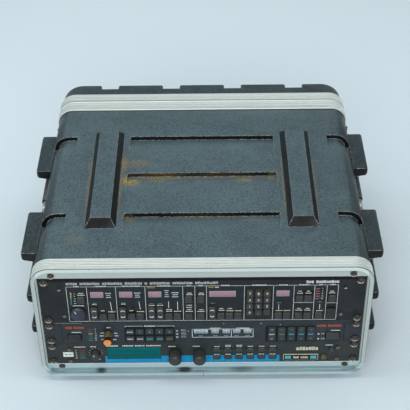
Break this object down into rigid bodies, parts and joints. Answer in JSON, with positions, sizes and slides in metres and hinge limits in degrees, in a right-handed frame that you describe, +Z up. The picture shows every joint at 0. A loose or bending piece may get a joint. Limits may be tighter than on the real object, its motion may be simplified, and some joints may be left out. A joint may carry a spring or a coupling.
{
  "type": "rack-mounted delay unit in a carrying case",
  "caption": "Digital delay with display windows, keys and knobs, screwed above slim effects units in a moulded rack case with a latched rear lid and side handles.",
  "frame": {"origin": "middle of the footprint, on the floor under the lower stacking ribs", "axes": "+Z up, -Y towards the front panels, +X to the right seen from the front"},
  "size_m": [0.548, 0.506, 0.2464],
  "materials": {
    "moulded_black": "pebbled, scuffed and dusty",
    "edge_aluminium": "fine extruded flutes, dull",
    "plated_steel": "bright zinc, slightly dull",
    "dark_screw": "black oxide",
    "cup_steel": "nickel",
    "delay_black": "satin black enamel",
    "middle_blue_grey": "satin dark blue-grey enamel",
    "bottom_black": "satin black enamel",
    "chassis_steel": "zinc-coated sheet",
    "board_green": "solder mask",
    "transformer_iron": "varnished laminations",
    "window_mauve": "tinted display window",
    "window_blue": "pale display window",
    "window_teal": "backlit display",
    "socket_black": "moulded",
    "key_black": "satin moulded keycaps",
    "key_grey": "satin moulded keycaps",
    "knob_navy": "satin moulded",
    "knob_black": "ribbed moulded",
    "knob_gold": "anodised",
    "knob_orange": "moulded cap",
    "card_cream": "printed bezel",
    "button_olive": "moulded",
    "grip_rubber": "moulded grip"
  },
  "bodies": {
    "case": {"case_shell": "moulded_black", "front_valance": "edge_aluminium", "rear_valance": "edge_aluminium", "rack_rails": "plated_steel", "rack_screws": "dark_screw", "cup_washers": "cup_steel", "corner_screws": "dark_screw", "latch_keepers": "plated_steel", "handle_plates": "plated_steel", "delay_panel": "delay_black", "delay_chassis": "chassis_steel", "delay_cover": "chassis_steel", "delay_boards": "board_green", "delay_transformer": "transformer_iron", "delay_windows": "window_mauve", "rear_sockets": "socket_black", "middle_panel": "middle_blue_grey", "middle_chassis": "chassis_steel", "middle_windows": "window_blue", "bottom_panel": "bottom_black", "bottom_chassis": "chassis_steel", "bottom_display": "window_teal", "card_slot": "card_cream", "slim_boards": "board_green"},
    "rear_lid": {"rear_lid": "moulded_black", "lid_valance": "edge_aluminium", "latch_plates": "plated_steel"},
    "latch_wing_right_low": {"latch_wing_right_low": "dark_screw"},
    "latch_wing_right_high": {"latch_wing_right_high": "dark_screw"},
    "latch_wing_left_low": {"latch_wing_left_low": "dark_screw"},
    "latch_wing_left_high": {"latch_wing_left_high": "dark_screw"},
    "bail_right": {"bail_right": "plated_steel", "grip_right": "grip_rubber"},
    "bail_left": {"bail_left": "plated_steel", "grip_left": "grip_rubber"},
    "level_knob": {"level_knob": "knob_navy"},
    "step_rocker_1": {"step_rocker_1": "key_black"},
    "step_rocker_2": {"step_rocker_2": "key_black"},
    "step_rocker_3": {"step_rocker_3": "key_black"},
    "step_rocker_4": {"step_rocker_4": "key_black"},
    "step_rocker_5": {"step_rocker_5": "key_black"},
    "power_rocker": {"power_rocker": "key_black"},
    "keypad": {"keypad": "key_black"},
    "step_keys": {"step_keys": "key_black"},
    "mode_keys": {"mode_keys": "key_black"},
    "memory_keys": {"memory_keys": "key_black"},
    "store_keys": {"store_keys": "key_black"},
    "bypass_keys": {"bypass_keys": "key_black"},
    "dual_knob_outer": {"dual_knob_outer": "knob_gold"},
    "dual_knob_inner": {"dual_knob_inner": "knob_orange"},
    "input_rocker": {"input_rocker": "key_black"},
    "middle_power_rocker": {"middle_power_rocker": "key_black"},
    "programme_keys": {"programme_keys": "key_grey"},
    "parameter_keys": {"parameter_keys": "key_grey"},
    "trim_knob": {"trim_knob": "knob_black"},
    "value_wheel_left": {"value_wheel_left": "knob_black"},
    "value_wheel_right": {"value_wheel_right": "knob_black"},
    "oval_keys": {"oval_keys": "key_black"},
    "eject_button": {"eject_button": "button_olive"},
    "power_button": {"power_button": "key_black"}
  },
  "joints": [
    {"name": "lid_pull_off", "type": "slide", "parent": "case", "child": "rear_lid", "axis": [0, 1, 0], "range_m": [0, 0.06]},
    {"name": "latch_wing_right_low_turn", "type": "hinge", "parent": "rear_lid", "child": "latch_wing_right_low", "pos_m": [0.2585, 0.2376, 0.1042], "axis": [1, 0, 0], "range_deg": [0, 180]},
    {"name": "latch_wing_right_high_turn", "type": "hinge", "parent": "rear_lid", "child": "latch_wing_right_high", "pos_m": [0.2585, 0.2376, 0.1422], "axis": [1, 0, 0], "range_deg": [0, 180]},
    {"name": "latch_wing_left_low_turn", "type": "hinge", "parent": "rear_lid", "child": "latch_wing_left_low", "pos_m": [-0.2585, 0.2376, 0.1042], "axis": [-1, 0, 0], "range_deg": [0, 180]},
    {"name": "latch_wing_left_high_turn", "type": "hinge", "parent": "rear_lid", "child": "latch_wing_left_high", "pos_m": [-0.2585, 0.2376, 0.1422], "axis": [-1, 0, 0], "range_deg": [0, 180]},
    {"name": "handle_right_swing", "type": "hinge", "parent": "case", "child": "bail_right", "pos_m": [0.263, 0.028, 0.1432], "axis": [0, 1, 0], "range_deg": [0, 100]},
    {"name": "handle_left_swing", "type": "hinge", "parent": "case", "child": "bail_left", "pos_m": [-0.263, 0.028, 0.1432], "axis": [0, -1, 0], "range_deg": [0, 100]},
    {"name": "level_knob_turn", "type": "hinge", "parent": "case", "child": "level_knob", "pos_m": [-0.1867, -0.232, 0.1422], "axis": [0, 1, 0], "range_deg": [-150, 150]},
    {"name": "step_rocker_1_tilt", "type": "hinge", "parent": "case", "child": "step_rocker_1", "pos_m": [-0.1623, -0.23, 0.1425], "axis": [1, 0, 0], "range_deg": [-5, 5], "stiffness_Nm_per_rad": 0.2},
    {"name": "step_rocker_2_tilt", "type": "hinge", "parent": "case", "child": "step_rocker_2", "pos_m": [-0.1195, -0.23, 0.1425], "axis": [1, 0, 0], "range_deg": [-5, 5], "stiffness_Nm_per_rad": 0.2},
    {"name": "step_rocker_3_tilt", "type": "hinge", "parent": "case", "child": "step_rocker_3", "pos_m": [-0.0763, -0.23, 0.1425], "axis": [1, 0, 0], "range_deg": [-5, 5], "stiffness_Nm_per_rad": 0.2},
    {"name": "step_rocker_4_tilt", "type": "hinge", "parent": "case", "child": "step_rocker_4", "pos_m": [-0.0635, -0.23, 0.1425], "axis": [1, 0, 0], "range_deg": [-5, 5], "stiffness_Nm_per_rad": 0.2},
    {"name": "step_rocker_5_tilt", "type": "hinge", "parent": "case", "child": "step_rocker_5", "pos_m": [0.0144, -0.23, 0.1425], "axis": [1, 0, 0], "range_deg": [-5, 5], "stiffness_Nm_per_rad": 0.2},
    {"name": "power_rocker_tilt", "type": "hinge", "parent": "case", "child": "power_rocker", "pos_m": [0.192, -0.23, 0.1406], "axis": [1, 0, 0], "range_deg": [-7, 7]},
    {"name": "keypad_press", "type": "slide", "parent": "case", "child": "keypad", "axis": [0, 1, 0], "range_m": [0, 0.0012], "stiffness_N_per_m": 400},
    {"name": "step_keys_press", "type": "slide", "parent": "case", "child": "step_keys", "axis": [0, 1, 0], "range_m": [0, 0.0012], "stiffness_N_per_m": 400},
    {"name": "mode_keys_press", "type": "slide", "parent": "case", "child": "mode_keys", "axis": [0, 1, 0], "range_m": [0, 0.0012], "stiffness_N_per_m": 400},
    {"name": "memory_keys_press", "type": "slide", "parent": "case", "child": "memory_keys", "axis": [0, 1, 0], "range_m": [0, 0.0012], "stiffness_N_per_m": 400},
    {"name": "store_keys_press", "type": "slide", "parent": "case", "child": "store_keys", "axis": [0, 1, 0], "range_m": [0, 0.0012], "stiffness_N_per_m": 400},
    {"name": "bypass_keys_press", "type": "slide", "parent": "case", "child": "bypass_keys", "axis": [0, 1, 0], "range_m": [0, 0.0012], "stiffness_N_per_m": 400},
    {"name": "dual_knob_outer_turn", "type": "hinge", "parent": "case", "child": "dual_knob_outer", "pos_m": [-0.1443, -0.232, 0.09955], "axis": [0, 1, 0], "range_deg": [-150, 150]},
    {"name": "dual_knob_inner_turn", "type": "hinge", "parent": "case", "child": "dual_knob_inner", "pos_m": [-0.1443, -0.232, 0.09955], "axis": [0, 1, 0], "range_deg": [-150, 150]},
    {"name": "input_rocker_tilt", "type": "hinge", "parent": "case", "child": "input_rocker", "pos_m": [-0.196, -0.23, 0.09095], "axis": [0, 0, 1], "range_deg": [-6, 6]},
    {"name": "middle_power_rocker_tilt", "type": "hinge", "parent": "case", "child": "middle_power_rocker", "pos_m": [0.198, -0.23, 0.09135], "axis": [0, 0, 1], "range_deg": [-6, 6]},
    {"name": "programme_keys_press", "type": "slide", "parent": "case", "child": "programme_keys", "axis": [0, 1, 0], "range_m": [0, 0.0012], "stiffness_N_per_m": 400},
    {"name": "parameter_keys_press", "type": "slide", "parent": "case", "child": "parameter_keys", "axis": [0, 1, 0], "range_m": [0, 0.0012], "stiffness_N_per_m": 400},
    {"name": "trim_knob_turn", "type": "hinge", "parent": "case", "child": "trim_knob", "pos_m": [-0.1661, -0.232, 0.0568], "axis": [0, 1, 0], "range_deg": [-150, 150]},
    {"name": "value_wheel_left_turn", "type": "hinge", "parent": "case", "child": "value_wheel_left", "pos_m": [-0.0433, -0.232, 0.0553], "axis": [0, 1, 0], "continuous": true},
    {"name": "value_wheel_right_turn", "type": "hinge", "parent": "case", "child": "value_wheel_right", "pos_m": [-0.0058, -0.232, 0.0553], "axis": [0, 1, 0], "continuous": true},
    {"name": "oval_keys_press", "type": "slide", "parent": "case", "child": "oval_keys", "axis": [0, 1, 0], "range_m": [0, 0.0012], "stiffness_N_per_m": 400},
    {"name": "eject_button_press", "type": "slide", "parent": "case", "child": "eject_button", "axis": [0, 1, 0], "range_m": [0, 0.0015], "stiffness_N_per_m": 400},
    {"name": "power_button_press", "type": "slide", "parent": "case", "child": "power_button", "axis": [0, 1, 0], "range_m": [0, 0.0015], "stiffness_N_per_m": 400}
  ]
}
